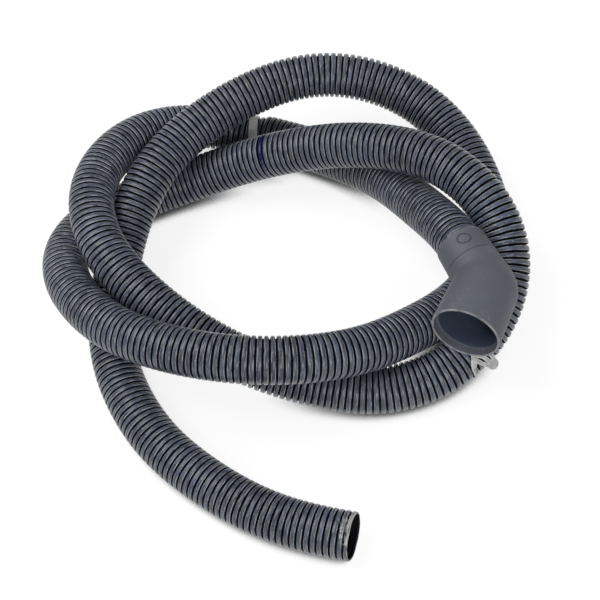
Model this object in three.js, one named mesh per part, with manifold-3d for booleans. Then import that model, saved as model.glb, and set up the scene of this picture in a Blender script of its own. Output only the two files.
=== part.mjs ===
// Washing machine drain hose: a corrugated hose lying in a loose coil, a moulded
// elbow connector on one end, and two light ties. Millimetres, +Z up.
// The hose lies on the plane z = 0.

import * as THREE from 'three';
import Module from 'manifold-3d';

// Driving sizes of the hose
const HOSE_OD = 34;
const HOSE_WALL = 2.4;
const HOSE_SIDES = 12;
const HOSE_STEPS = 80;

// Driving sizes of the elbow connector
const ELBOW_SIDES = 40;
const NECK_CLEARANCE = 0.6;
const NECK_BORE = HOSE_OD + 2 * NECK_CLEARANCE;
const NECK_WALL = 0.9;
const NECK_OD = NECK_BORE + 2 * NECK_WALL;
const NECK_DEPTH = 26;
const NECK_LENGTH = 26.2;
const NECK_STEP_AT = 18.5;
const NECK_STEP = 0.3;
const BEND_DEG = 46.5;
const BEND_ARC = 17;
const BEND_STATIONS = 9;
const CREASE_RADIUS = 0.6;
const NECK_TAPER = 2.4;
const BEND_OD_IN = NECK_OD + NECK_TAPER;
const BEND_FLARE = 7.4;
const BEND_OD_OUT = BEND_OD_IN + BEND_FLARE;
const MOUTH_LENGTH = 38.1;
const MOUTH_FLARE = 2.4;
const MOUTH_OD = BEND_OD_OUT + MOUTH_FLARE;
const MOUTH_WALL = 1.7;
const MOUTH_BORE = MOUTH_OD - 2 * MOUTH_WALL;
const MOUTH_SEAT = 5.5;
const WALL = 2.2;

// Place of the elbow: centre of the neck rim, the neck's axis away from the
// hose, and a vector on the side that the mouth turns to
const NECK_RIM = new THREE.Vector3(126.1, -6.1, 71);
const NECK_AXIS = new THREE.Vector3(0.2338, -0.9717, 0.0323).normalize();
const MOUTH_SIDE = new THREE.Vector3(-0.9632, -0.2282, 0.0845);

// Sizes of the ties
const TIE_SIDES = 36;
const TIE_GAP = 1;
const BACK_TIE_WIDTH = 5.5;
const BACK_TIE_THICK = 0.9;
const FRONT_TIE_WIDTH = 3.5;
const FRONT_TIE_THICK = 0.9;
const LOOP_WIDTH = 2.6;
const LOOP_THICK = 1;

// Route of the hose from the elbow to the cut end, in millimetres
const ROUTE = [
  [117, 25, 59], [104, 61, 43], [88, 95, 31], [65, 125, 21], [36, 150, 17],
  [2, 170, 19], [-34, 181, 28], [-70, 180, 39], [-100, 162, 52], [-122, 132, 62],
  [-131, 95, 69], [-126, 57, 67], [-108, 22, 61], [-84, -7, 51], [-55, -32, 40],
  [-23, -52, 30], [13, -68, 22], [51, -78, 17], [91, -75, 18], [126, -58, 25],
  [151, -30, 38], [159, 3, 55], [148, 38, 70], [124, 69, 75], [93, 93, 70],
  [59, 112, 60], [24, 126, 47], [-12, 136, 33], [-50, 139, 22], [-89, 136, 17],
  [-127, 122, 22], [-152.5, 95, 33], [-159.5, 59, 45], [-149, 23, 55], [-128, -10, 63],
  [-98, -36, 69], [-63, -55, 71], [-26, -66, 69], [13, -68, 61], [50, -60, 48],
  [85, -42, 33], [117, -21, 20], [144, 6, 17], [157, 40, 20], [158, 78, 26],
  [149, 115, 34], [130, 147, 44], [99, 170, 54], [63, 182, 61], [24, 182, 63],
  [-13, 172, 62], [-49, 156, 58], [-80, 132, 53], [-104, 101, 44], [-120, 68, 33],
  [-132, 30, 24], [-134.5, -9, 19], [-126.5, -47.5, 18], [-110.5, -84, 17], [-86.5, -116, 17],
  [-58, -144.5, 17], [-26, -167, 17], [11, -184.5, 17],
];

// Where each tie goes round the hose: centre and the direction of the strand
const BACK_TIE = { at: [-1.3, 170.9, 19.9], along: [-0.908, 0.382, 0.17] };
const FRONT_TIE = { at: [112.6, -66.4, 21.4], along: [0.87, 0.46, 0.19] };

// Folded loop of the front tie: its middle line as distances along the strand, angles
// round it in degrees and heights over the hose, and the way that its strip faces
const LOOP = [
  [0, 140, 1.9], [3.5, 143, 2.3], [5.5, 160, 2.8], [7.5, 175, 4.8], [9.5, -179, 6.3],
  [12.5, -178, 6.6], [14, -180, 5.8], [13.5, 170, 3.9], [12, 159, 2.7], [10.5, 147, 2.2],
  [8, 138, 2.2], [4, 133, 2.4], [0.5, 130, 2.1],
];
const LOOP_FACES = new THREE.Vector3(0.33, -0.78, 0.55).normalize();

const wasm = await Module();
wasm.setup();

const group = new THREE.Group();

function add(name, geometry, colour, roughness) {
  const material = new THREE.MeshStandardMaterial({ color: colour, roughness });
  const mesh = new THREE.Mesh(geometry, material);
  mesh.name = name;
  group.add(mesh);
}

// A geometry from a list of points and a list of triangles
function geometryOf(points, triangles) {
  const geometry = new THREE.BufferGeometry();
  geometry.setAttribute('position', new THREE.Float32BufferAttribute(points.flat(), 3));
  geometry.setIndex(triangles.flat());
  geometry.computeVertexNormals();
  return geometry;
}

// A closed solid from rings of equal count; the last ring joins the first
function closedRings(rings) {
  const count = rings[0].length;
  const points = rings.flat();
  const triangles = [];
  for (let r = 0; r < rings.length; r += 1) {
    const next = (r + 1) % rings.length;
    for (let k = 0; k < count; k += 1) {
      const side = (k + 1) % count;
      const a = r * count + k;
      const b = r * count + side;
      const c = next * count + side;
      const d = next * count + k;
      triangles.push([a, b, c], [a, c, d]);
    }
  }
  return geometryOf(points, triangles);
}

// A ring of points round a centre, in the plane of two unit vectors
function ring(centre, u, v, radius, sides) {
  const points = [];
  for (let k = 0; k < sides; k += 1) {
    const angle = (k / sides) * Math.PI * 2;
    const point = centre.clone()
      .addScaledVector(u, Math.cos(angle) * radius)
      .addScaledVector(v, Math.sin(angle) * radius);
    points.push(point.toArray());
  }
  return points;
}

// Hose: a plain hollow tube along the route, starting inside the neck
const inNeck = NECK_RIM.clone().addScaledVector(NECK_AXIS, NECK_DEPTH - 1);
const midNeck = NECK_RIM.clone().addScaledVector(NECK_AXIS, 10);
const outOfNeck = NECK_RIM.clone().addScaledVector(NECK_AXIS, -4);
const hosePath = new THREE.CatmullRomCurve3(
  [inNeck, midNeck, outOfNeck, ...ROUTE.map((p) => new THREE.Vector3(...p))],
);
const section = new THREE.Shape();
const hole = new THREE.Path();
for (let k = 0; k < HOSE_SIDES; k += 1) {
  const angle = (k / HOSE_SIDES) * Math.PI * 2;
  const outer = HOSE_OD / 2;
  const inner = outer - HOSE_WALL;
  const method = k === 0 ? 'moveTo' : 'lineTo';
  section[method](Math.cos(angle) * outer, Math.sin(angle) * outer);
  hole[method](Math.cos(-angle) * inner, Math.sin(-angle) * inner);
}
section.closePath();
hole.closePath();
section.holes.push(hole);
const hose = new THREE.ExtrudeGeometry(section, { steps: HOSE_STEPS, extrudePath: hosePath });
add('drain_hose', hose, 0x34373c, 0.45);

// Elbow: the bend plane is spanned by the neck's axis and the side vector
const side = MOUTH_SIDE.clone()
  .addScaledVector(NECK_AXIS, -MOUTH_SIDE.dot(NECK_AXIS))
  .normalize();
const across = new THREE.Vector3().crossVectors(NECK_AXIS, side);
const bend = THREE.MathUtils.degToRad(BEND_DEG);
const bendEnd = NECK_LENGTH + BEND_ARC;
const mouthEnd = bendEnd + MOUTH_LENGTH;

// Outer radius at a distance from the neck rim
function outerRadius(s) {
  if (s <= NECK_LENGTH) {
    const step = s > NECK_STEP_AT ? NECK_STEP : 0;
    const start = NECK_OD / 2;
    const rise = BEND_OD_IN / 2 - NECK_STEP - start;
    return start + rise * (s / NECK_LENGTH) + step;
  }
  if (s <= bendEnd) {
    const t = (s - NECK_LENGTH) / BEND_ARC;
    const ease = t * t * (3 - 2 * t);
    return (BEND_OD_IN + (BEND_OD_OUT - BEND_OD_IN) * ease) / 2;
  }
  const t = (s - bendEnd) / MOUTH_LENGTH;
  return (BEND_OD_OUT + (MOUTH_OD - BEND_OD_OUT) * t) / 2;
}

// Centre and turn of the section at a distance from the neck rim. The bend's
// sections fan about a pivot just inside the crease.
function station(s) {
  const pivotY = BEND_OD_IN / 2 + CREASE_RADIUS;
  if (s <= NECK_LENGTH) {
    return { x: s, y: 0, turn: 0 };
  }
  const turn = bend * Math.min(1, (s - NECK_LENGTH) / BEND_ARC);
  const reach = outerRadius(Math.min(s, bendEnd)) + CREASE_RADIUS;
  const past = Math.max(0, s - bendEnd);
  return {
    x: NECK_LENGTH + Math.sin(turn) * reach + Math.cos(turn) * past,
    y: pivotY - Math.cos(turn) * reach + Math.sin(turn) * past,
    turn,
  };
}

function elbowRing(s, radius) {
  const { x, y, turn } = station(s);
  const centre = NECK_RIM.clone().addScaledVector(NECK_AXIS, x).addScaledVector(side, y);
  const outward = NECK_AXIS.clone().multiplyScalar(-Math.sin(turn))
    .addScaledVector(side, Math.cos(turn));
  return ring(centre, outward, across, radius, ELBOW_SIDES);
}

const neckBore = NECK_BORE / 2;
const seatBore = MOUTH_BORE / 2;
const outside = [];
outside.push([0.6, outerRadius(0)], [NECK_STEP_AT, outerRadius(NECK_STEP_AT)]);
outside.push([NECK_STEP_AT + NECK_STEP, outerRadius(NECK_STEP_AT + NECK_STEP)]);
const inside = [];
for (let k = 0; k <= BEND_STATIONS; k += 1) {
  const s = NECK_LENGTH + (BEND_ARC * k) / BEND_STATIONS;
  outside.push([s, outerRadius(s)]);
  inside.push([s, outerRadius(s) - WALL - 0.4]);
}
outside.push([mouthEnd - 0.5, outerRadius(mouthEnd)], [mouthEnd, outerRadius(mouthEnd) - 0.5]);
inside.unshift([NECK_DEPTH, neckBore - 1.6]);
inside.push([mouthEnd - MOUTH_SEAT, seatBore - 1.6], [mouthEnd - MOUTH_SEAT, seatBore]);
inside.push([mouthEnd, seatBore]);
const profile = [
  [0, neckBore], [0, outerRadius(0) - 0.4], ...outside,
  ...inside.reverse(), [NECK_DEPTH, neckBore],
];
const elbowRings = profile.map(([s, radius]) => elbowRing(s, radius));
add('elbow_connector', closedRings(elbowRings), 0x5c5f65, 0.6);

// Centre of a tie, the strand's direction and the two directions across it
function tieAxes(tie) {
  const centre = new THREE.Vector3(...tie.at);
  const along = new THREE.Vector3(...tie.along).normalize();
  const level = new THREE.Vector3(0, 0, 1).cross(along).normalize();
  const upward = new THREE.Vector3().crossVectors(along, level);
  return { centre, along, level, upward };
}

// A band round a strand: a ring of rectangular section
function band(tie, width, thick) {
  const { centre, along, level, upward } = tieAxes(tie);
  const inner = HOSE_OD / 2 + TIE_GAP;
  const outer = inner + thick;
  const low = centre.clone().addScaledVector(along, -width / 2);
  const high = centre.clone().addScaledVector(along, width / 2);
  return closedRings([
    ring(low, level, upward, inner, TIE_SIDES),
    ring(low, level, upward, outer, TIE_SIDES),
    ring(high, level, upward, outer, TIE_SIDES),
    ring(high, level, upward, inner, TIE_SIDES),
  ]);
}

add('coil_tie_back', band(BACK_TIE, BACK_TIE_WIDTH, BACK_TIE_THICK), 0xa9a9ac, 0.5);

// A place round a strand, from its distance along, angle and height over the hose
function roundStrand(tie, [distance, degrees, height]) {
  const { centre, along, level, upward } = tieAxes(tie);
  const angle = THREE.MathUtils.degToRad(degrees);
  const reach = HOSE_OD / 2 + height;
  return centre.addScaledVector(along, distance)
    .addScaledVector(level, Math.cos(angle) * reach)
    .addScaledVector(upward, Math.sin(angle) * reach);
}

// A flat strip along a line of points, closed at both ends
function strip(path, faces, width, thick) {
  const points = [];
  const triangles = [];
  path.forEach((point, i) => {
    const before = path[Math.max(0, i - 1)];
    const after = path[Math.min(path.length - 1, i + 1)];
    const tangent = after.clone().sub(before).normalize();
    const wide = new THREE.Vector3().crossVectors(tangent, faces).normalize();
    const deep = new THREE.Vector3().crossVectors(wide, tangent);
    for (const [a, b] of [[-1, -1], [-1, 1], [1, 1], [1, -1]]) {
      const corner = point.clone()
        .addScaledVector(wide, (a * width) / 2)
        .addScaledVector(deep, (b * thick) / 2);
      points.push(corner.toArray());
    }
    if (i > 0) {
      for (let k = 0; k < 4; k += 1) {
        const a = (i - 1) * 4 + k;
        const b = (i - 1) * 4 + ((k + 1) % 4);
        triangles.push([a, b, b + 4], [a, b + 4, a + 4]);
      }
    }
  });
  const end = (path.length - 1) * 4;
  triangles.push([0, 2, 1], [0, 3, 2], [end, end + 1, end + 2], [end, end + 2, end + 3]);
  return geometryOf(points, triangles);
}

function toManifold(geometry) {
  return new wasm.Manifold(new wasm.Mesh({
    numProp: 3,
    vertProperties: new Float32Array(geometry.attributes.position.array),
    triVerts: new Uint32Array(geometry.index.array),
  }));
}

function toGeometry(solid) {
  const mesh = solid.getMesh();
  const geometry = new THREE.BufferGeometry();
  geometry.setAttribute('position', new THREE.Float32BufferAttribute(mesh.vertProperties, 3));
  geometry.setIndex(Array.from(mesh.triVerts));
  geometry.computeVertexNormals();
  return geometry;
}

const frontBand = toManifold(band(FRONT_TIE, FRONT_TIE_WIDTH, FRONT_TIE_THICK));
const loopLine = LOOP.map((place) => roundStrand(FRONT_TIE, place));
const frontLoop = toManifold(strip(loopLine, LOOP_FACES, LOOP_WIDTH, LOOP_THICK));
add('coil_tie_front', toGeometry(frontBand.add(frontLoop)), 0xa9a9ac, 0.5);

export default group;
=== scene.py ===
"""Washing machine drain hose: a corrugated hose in a loose coil, a moulded elbow
connector on one end, and two light ties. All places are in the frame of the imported
model, in metres."""

import math

import bpy
from bpy.props import FloatProperty, FloatVectorProperty, PointerProperty
from mathutils import Matrix, Vector, noise


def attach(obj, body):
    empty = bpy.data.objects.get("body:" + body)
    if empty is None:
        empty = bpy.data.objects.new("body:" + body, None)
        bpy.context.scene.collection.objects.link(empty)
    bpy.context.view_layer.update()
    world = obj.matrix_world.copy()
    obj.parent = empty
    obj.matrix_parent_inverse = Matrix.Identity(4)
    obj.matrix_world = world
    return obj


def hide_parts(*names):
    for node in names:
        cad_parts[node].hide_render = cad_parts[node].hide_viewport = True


bl_info = {
    "name": "Washing machine drain hose",
    "version": (1, 0, 0),
    "blender": (4, 5, 0),
    "location": "View3D > Sidebar > Drain hose",
    "description": "Builds a coiled corrugated drain hose with its elbow connector and ties",
    "category": "Add Mesh",
}

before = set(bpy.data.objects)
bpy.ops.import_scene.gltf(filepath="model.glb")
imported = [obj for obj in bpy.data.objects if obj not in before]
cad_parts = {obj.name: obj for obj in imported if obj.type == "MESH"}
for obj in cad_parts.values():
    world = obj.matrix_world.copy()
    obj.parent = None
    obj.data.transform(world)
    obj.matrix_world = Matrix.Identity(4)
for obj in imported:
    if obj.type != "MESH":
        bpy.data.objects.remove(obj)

MM = 0.001

# Camera: where it stands, how far down it looks, how it is rolled, and its view
CAMERA_AT = Vector((7.0, -623.0, 982.0)) * MM
CAMERA_DOWN = math.radians(56.71)
CAMERA_ROLL = math.radians(-11.44)
CAMERA_SENSOR = 36.0
CAMERA_LENS = 93.54
CAMERA_NEAREST = 0.01

# Directions as the camera sees them: towards it, and up in its picture
TO_CAMERA = Vector((0, -math.cos(CAMERA_DOWN), math.sin(CAMERA_DOWN)))
PICTURE_UP = Vector((0, math.sin(CAMERA_DOWN), math.cos(CAMERA_DOWN)))

# Elbow: centre of the neck rim, the neck's axis away from the hose, and the side
# that the mouth turns to
NECK_RIM = Vector((126.1, -6.1, 71.0)) * MM
NECK_AXIS = Vector((0.2338, -0.9717, 0.0323)).normalized()
MOUTH_SIDE = Vector((-0.9632, -0.2282, 0.0845))

# Route of the hose in millimetres, from the elbow to the cut end
ROUTE = (
    (117, 25, 59), (104, 61, 43), (88, 95, 31), (65, 125, 21), (36, 150, 17),
    (2, 170, 19), (-34, 181, 28), (-70, 180, 39), (-100, 162, 52), (-122, 132, 62),
    (-131, 95, 69), (-126, 57, 67), (-108, 22, 61), (-84, -7, 51), (-55, -32, 40),
    (-23, -52, 30), (13, -68, 22), (51, -78, 17), (91, -75, 18), (126, -58, 25),
    (151, -30, 38), (159, 3, 55), (148, 38, 70), (124, 69, 75), (93, 93, 70),
    (59, 112, 60), (24, 126, 47), (-12, 136, 33), (-50, 139, 22), (-89, 136, 17),
    (-127, 122, 22), (-152.5, 95, 33), (-159.5, 59, 45), (-149, 23, 55), (-128, -10, 63),
    (-98, -36, 69), (-63, -55, 71), (-26, -66, 69), (13, -68, 61), (50, -60, 48),
    (85, -42, 33), (117, -21, 20), (144, 6, 17), (157, 40, 20), (158, 78, 26),
    (149, 115, 34), (130, 147, 44), (99, 170, 54), (63, 182, 61), (24, 182, 63),
    (-13, 172, 62), (-49, 156, 58), (-80, 132, 53), (-104, 101, 44), (-120, 68, 33),
    (-132, 30, 24), (-134.5, -9, 19), (-126.5, -47.5, 18), (-110.5, -84, 17), (-86.5, -116, 17),
    (-58, -144.5, 17), (-26, -167, 17), (11, -184.5, 17),
)
NECK_SEAT = 25 * MM
NECK_MIDDLE = 10 * MM
NECK_RUN_OUT = 4 * MM

# Where each tie goes round the hose, and the direction of the strand there
BACK_TIE_AT = Vector((-1.3, 170.9, 19.9)) * MM
BACK_TIE_ALONG = Vector((-0.908, 0.382, 0.17)).normalized()
FRONT_TIE_AT = Vector((112.6, -66.4, 21.4)) * MM
FRONT_TIE_ALONG = Vector((0.87, 0.46, 0.19)).normalized()


# Sizes and colours that a user would change

class HoseSettings(bpy.types.PropertyGroup):
    diameter: FloatProperty(
        name="Outside diameter", description="Diameter over the ridges",
        default=34 * MM, min=20 * MM, max=60 * MM, subtype="DISTANCE", unit="LENGTH")
    groove_depth: FloatProperty(
        name="Groove depth", description="How deep the grooves lie below the ridges",
        default=2.2 * MM, min=0.0, max=4 * MM, subtype="DISTANCE", unit="LENGTH")
    pitch: FloatProperty(
        name="Ridge pitch", description="Distance from one ridge to the next",
        default=4.5 * MM, min=3 * MM, max=10 * MM, subtype="DISTANCE", unit="LENGTH")
    wall: FloatProperty(
        name="Wall", description="Thickness of the hose's wall",
        default=0.9 * MM, min=0.4 * MM, max=3 * MM, subtype="DISTANCE", unit="LENGTH")
    colour: FloatVectorProperty(
        name="Colour", description="Colour of the ridges",
        default=(0.068, 0.083, 0.12), size=3, min=0.0, max=1.0, subtype="COLOR")
    # Near-black painted shade down in the grooves and inside the hose, much darker than the
    # plastic itself
    groove_shade_colour: FloatVectorProperty(
        name="Groove colour", description="Colour down in the grooves",
        default=(0.0008, 0.001, 0.0024), size=3, min=0.0, max=1.0, subtype="COLOR")
    # Pale colour for rubbed wear and scuffs, also used for the painted highlight on the ridges'
    # shoulders and at the cut end
    rubbed_and_sheen_colour: FloatVectorProperty(
        name="Rubbed colour", description="Colour where the ridges are rubbed",
        default=(0.46, 0.47, 0.48), size=3, min=0.0, max=1.0, subtype="COLOR")
    ink_colour: FloatVectorProperty(
        name="Ink colour", description="Colour of the pen line on one ridge",
        default=(0.001, 0.001, 0.07), size=3, min=0.0, max=1.0, subtype="COLOR")


class ElbowSettings(bpy.types.PropertyGroup):
    neck_diameter: FloatProperty(
        name="Neck diameter", description="Outside diameter of the neck's rim",
        default=37 * MM, min=30 * MM, max=60 * MM, subtype="DISTANCE", unit="LENGTH")
    mouth_diameter: FloatProperty(
        name="Mouth diameter", description="Outside diameter of the mouth's rim",
        default=49.2 * MM, min=30 * MM, max=80 * MM, subtype="DISTANCE", unit="LENGTH")
    bend: FloatProperty(
        name="Bend", description="Angle between the neck and the mouth",
        default=math.radians(46.5), min=0.0, max=math.radians(90), subtype="ANGLE",
        unit="ROTATION")
    colour: FloatVectorProperty(
        name="Colour", description="Colour of the elbow's plastic",
        default=(0.108, 0.118, 0.14), size=3, min=0.0, max=1.0, subtype="COLOR")
    # Pale colour for scuffs and for the rims, where it is partly rubbed wear and partly a
    # painted highlight on the rounded edges
    rubbed_and_sheen_colour: FloatVectorProperty(
        name="Rubbed colour", description="Colour of rubbed edges and scuffs",
        default=(0.4, 0.4, 0.41), size=3, min=0.0, max=1.0, subtype="COLOR")


class TieSettings(bpy.types.PropertyGroup):
    back_width: FloatProperty(
        name="Back tie width", description="Width of the flat band at the back",
        default=6.8 * MM, min=2 * MM, max=12 * MM, subtype="DISTANCE", unit="LENGTH")
    strip_thickness: FloatProperty(
        name="Strip thickness", description="Thickness of the strips",
        default=0.7 * MM, min=0.2 * MM, max=2 * MM, subtype="DISTANCE", unit="LENGTH")
    # Painted light: the back band gets a paler copy of the strip colour than the front strips,
    # to make up for the shade it lies in
    back_lit_colour: FloatVectorProperty(
        name="Back colour", description="Colour of the band at the back",
        default=(0.8, 0.8, 0.78), size=3, min=0.0, max=1.0, subtype="COLOR")
    front_colour: FloatVectorProperty(
        name="Front colour", description="Colour of the strips under the mouth",
        default=(0.52, 0.52, 0.52), size=3, min=0.0, max=1.0, subtype="COLOR")
    # Painted highlight along the strips' edges and the back band's crease
    edge_highlight_colour: FloatVectorProperty(
        name="Edge colour", description="Paler colour of the strips' edges",
        default=(0.9, 0.9, 0.9), size=3, min=0.0, max=1.0, subtype="COLOR")


class StageSettings(bpy.types.PropertyGroup):
    key_power: FloatProperty(
        name="Key light", description="Power of the main lamp in watts",
        default=24.0, min=0.0, max=500.0)
    front_power: FloatProperty(
        name="Front light", description="Power of the lamp on the viewer's side in watts",
        default=16.0, min=0.0, max=500.0)
    world_strength: FloatProperty(
        name="Sky light", description="Strength of the even light from all sides",
        default=0.45, min=0.0, max=5.0)


# Small helpers

def deselect_all():
    if bpy.context.object and bpy.context.object.mode != "OBJECT":
        bpy.ops.object.mode_set(mode="OBJECT")
    bpy.ops.object.select_all(action="DESELECT")


def object_from(name, vertices, faces):
    """A new object at the origin whose mesh holds the given points and faces."""
    mesh = bpy.data.meshes.new(name)
    mesh.from_pydata(vertices, [], faces)
    mesh.update()
    piece = bpy.data.objects.new(name, mesh)
    bpy.context.scene.collection.objects.link(piece)
    return piece


def faces_between(rings, sides, closed):
    """Faces between rings of equally many points. Closed joins the last to the first."""
    faces = []
    for i in range(rings if closed else rings - 1):
        n = (i + 1) % rings
        for j in range(sides):
            m = (j + 1) % sides
            faces.append((i * sides + j, i * sides + m, n * sides + m, n * sides + j))
    return faces


def point_values(piece, name, values):
    """Keeps one number for each point of a piece, for its material to read."""
    attribute = piece.data.attributes.new(name, "FLOAT", "POINT")
    attribute.data.foreach_set("value", values)


def join(base, others):
    """Joins other pieces into the base piece."""
    deselect_all()
    for other in others:
        other.select_set(True)
    base.select_set(True)
    bpy.context.view_layer.objects.active = base
    bpy.ops.object.join()
    return base


def face_outwards(piece):
    deselect_all()
    piece.select_set(True)
    bpy.context.view_layer.objects.active = piece
    bpy.ops.object.mode_set(mode="EDIT")
    bpy.ops.mesh.select_all(action="SELECT")
    bpy.ops.mesh.normals_make_consistent(inside=False)
    bpy.ops.object.mode_set(mode="OBJECT")


def smooth(piece, degrees):
    """Shades a piece smooth, apart from edges sharper than the angle."""
    deselect_all()
    piece.select_set(True)
    bpy.context.view_layer.objects.active = piece
    bpy.ops.object.shade_smooth_by_angle(angle=math.radians(degrees))


def finish_piece(piece, node_name, material):
    """Gives a piece its material, hangs it under the root body, and hides the model's node that
    it stands for.
    """
    piece.data.materials.clear()
    piece.data.materials.append(material)
    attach(piece, "root")
    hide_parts(node_name)


# Lines of points

def curve_points(points, steps):
    """Centripetal curve through the points, with a number of steps in each span."""
    first = points[0] * 2 - points[1]
    last = points[-1] * 2 - points[-2]
    padded = [first, *points, last]
    line = []
    for i in range(1, len(padded) - 2):
        before, start, end, after = padded[i - 1:i + 3]
        d0 = math.sqrt((start - before).length)
        d1 = math.sqrt((end - start).length)
        d2 = math.sqrt((after - end).length)
        leave = ((start - before) / d0 - (end - before) / (d0 + d1) + (end - start) / d1) * d1
        arrive = ((end - start) / d1 - (after - start) / (d1 + d2) + (after - end) / d2) * d1
        for k in range(steps):
            t = k / steps
            cubic = start * 2 - end * 2 + leave + arrive
            square = end * 3 - start * 3 - leave * 2 - arrive
            line.append(start + leave * t + square * t * t + cubic * t ** 3)
    line.append(points[-1].copy())
    return line


def running_lengths(line):
    """Distance along a line of points to each of them."""
    lengths = [0.0]
    for a, b in zip(line, line[1:]):
        lengths.append(lengths[-1] + (b - a).length)
    return lengths


def respaced(line, distances):
    """Points at the given distances along a line; the distances rise."""
    lengths = running_lengths(line)
    result = []
    i = 0
    for distance in distances:
        while i < len(line) - 2 and lengths[i + 1] < distance:
            i += 1
        span = lengths[i + 1] - lengths[i]
        t = (distance - lengths[i]) / span
        result.append(line[i].lerp(line[i + 1], t))
    return result


def averaged(line, reach, fixed):
    """Averages each point with its neighbours, apart from a few at the start."""
    result = list(line)
    for i in range(fixed, len(line)):
        width = min(reach, i, len(line) - 1 - i)
        near = line[i - width:i + width + 1]
        result[i] = sum(near, Vector()) / len(near)
    return result


def eased(line, reach, fixed):
    """Evens out a line without drawing its bends in: what one averaging takes off
    the bends is averaged too, and put back."""
    soft = averaged(averaged(line, reach, fixed), reach, fixed)
    lost = [a - b for a, b in zip(line, soft)]
    back = averaged(averaged(lost, reach, fixed), reach, fixed)
    return [a + b for a, b in zip(soft, back)]


# Centre line of the hose

CURVE_STEPS = 12
LINE_SPACING = 5 * MM
LOWEST = 17 * MM
EASE_REACH = 4
EASE_FIXED = 6


def hose_line():
    """Centre line of the hose as evenly spaced points."""
    start = [NECK_RIM + NECK_AXIS * NECK_SEAT, NECK_RIM + NECK_AXIS * NECK_MIDDLE]
    start.append(NECK_RIM - NECK_AXIS * NECK_RUN_OUT)
    line = curve_points(start + [Vector(p) * MM for p in ROUTE], CURVE_STEPS)
    total = running_lengths(line)[-1]
    count = round(total / LINE_SPACING)
    line = respaced(line, [total * k / count for k in range(count + 1)])
    line = eased(line, EASE_REACH, EASE_FIXED)
    for point in line:
        point.z = max(point.z, LOWEST)
    return line


def frames_along(line):
    """Tangent and two side vectors at each point, turning as little as they can."""
    tangents = []
    for i in range(len(line)):
        before = line[max(0, i - 1)]
        after = line[min(len(line) - 1, i + 1)]
        tangents.append((after - before).normalized())
    side = Vector((0, 0, 1)).cross(tangents[0]).normalized()
    result = []
    for i, tangent in enumerate(tangents):
        if i > 0:
            side = (side - tangent * side.dot(tangent)).normalized()
        result.append((tangent, side, tangent.cross(side)))
    return result


def distance_of(line, place):
    """Distance along a line to its point nearest a place."""
    lengths = running_lengths(line)
    nearest = min(range(len(line)), key=lambda i: (line[i] - place).length)
    return lengths[nearest]


# Hose

HOSE_SIDES = 26
HOSE_SHARP = 60
INNER_STEP = 18 * MM
END_RIDGES = 7
# One ridge: place along the pitch and depth as a share of the groove's depth
RIDGE = ((0.0, 1.0), (0.19, 1.0), (0.27, 0.16), (0.38, 0.0), (0.79, 0.0), (0.92, 0.16))
# The same ridge on the inside of the wall, seen through the cut end
INNER_RIDGE = ((0.93, 0.8), (0.77, 0.1), (0.40, 0.1), (0.22, 0.8))
# Room kept clear of ridges inside the cut end, before the plain bore, and in the neck
CUT_MARGIN = 1.5 * MM
BORE_MARGIN = 3 * MM
NECK_MARGIN = 0.2 * MM
# Heights between groove and crown that the material reads off the ridges; the low ones inside
# the wall give it the painted groove shade
CROWN_HEIGHT = 0.9
LIP_HEIGHT = 0.85
INSIDE_HEIGHT = 0.35
BORE_HEIGHT = 0.4
# Waists that the ties press into the hose, how far each reaches, and the ties' seat
BACK_WAIST = 2.8 * MM
FRONT_WAIST = 0.5 * MM
WAIST_REACH = 8.5 * MM
TIE_SEAT = 0.45 * MM
# The cut end leans a little and is ragged; its pale marks, partly frayed wear and partly a
# painted highlight strongest on the upper side, fade out over a length
CUT_LEAN = math.radians(2.5)
CUT_RAGGED = 0.35 * MM
CUT_GRAIN = 2.3
CUT_SHEEN_LENGTH = 20 * MM
CUT_LIT_SIDE = Vector((0, -0.04, 1)).normalized()
CUT_SHEEN_LEAST = 0.15
# Pen line: its distance along the hose, its middle and half its width as shares of the
# pitch, how far it goes down a groove and round the hose, and how strong it is
INK_AT = 1104.5 * MM
INK_MIDDLE = 0.575
INK_HALF_WIDTH = 0.48
INK_LOWEST = 0.1
INK_ROUND = -0.1
INK_STRENGTH = 0.88
INK_FADE = 0.26
INK_ON_CROWN = 0.9


def ridge_pitch(length, settings):
    return length / round(length / settings.pitch)


def outside_stations(length, settings):
    """Distances along the hose, radii of its outside, and heights from groove to crown."""
    pitch = ridge_pitch(length, settings)
    radius = settings.diameter / 2
    stations = []
    for i in range(round(length / pitch)):
        for place, depth in RIDGE:
            at = (i + place) * pitch
            stations.append((at, radius - depth * settings.groove_depth, 1 - depth))
    return stations


def inside_stations(length, settings):
    """The same for the inside of the wall, from the cut end back to the neck."""
    pitch = ridge_pitch(length, settings)
    count = round(length / pitch)
    radius = settings.diameter / 2 - settings.wall
    stations = []
    for i in range(count - 1, count - 1 - END_RIDGES, -1):
        for place, depth in INNER_RIDGE:
            at = (i + place) * pitch
            if at < length - CUT_MARGIN:
                stations.append((at, radius - depth * settings.groove_depth, INSIDE_HEIGHT))
    rest = stations[-1][0] - BORE_MARGIN
    plain = radius - settings.groove_depth
    steps = round(rest / INNER_STEP)
    for k in range(steps, -1, -1):
        stations.append((NECK_MARGIN + (rest - NECK_MARGIN) * k / steps, plain, BORE_HEIGHT))
    return stations


def bump_at(distance, middle, reach):
    """A smooth bump with a flat top, 1 at its middle and close to 0 past its reach."""
    return math.exp(-((distance - middle) / reach) ** 4)


def cut_shift(across, radius):
    """How far the cut end's edge stands past the plain cut, on one side of it."""
    ragged = noise.noise(across * CUT_GRAIN) * CUT_RAGGED
    return ragged - math.tan(CUT_LEAN) * across.dot(TO_CAMERA) * radius


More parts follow.
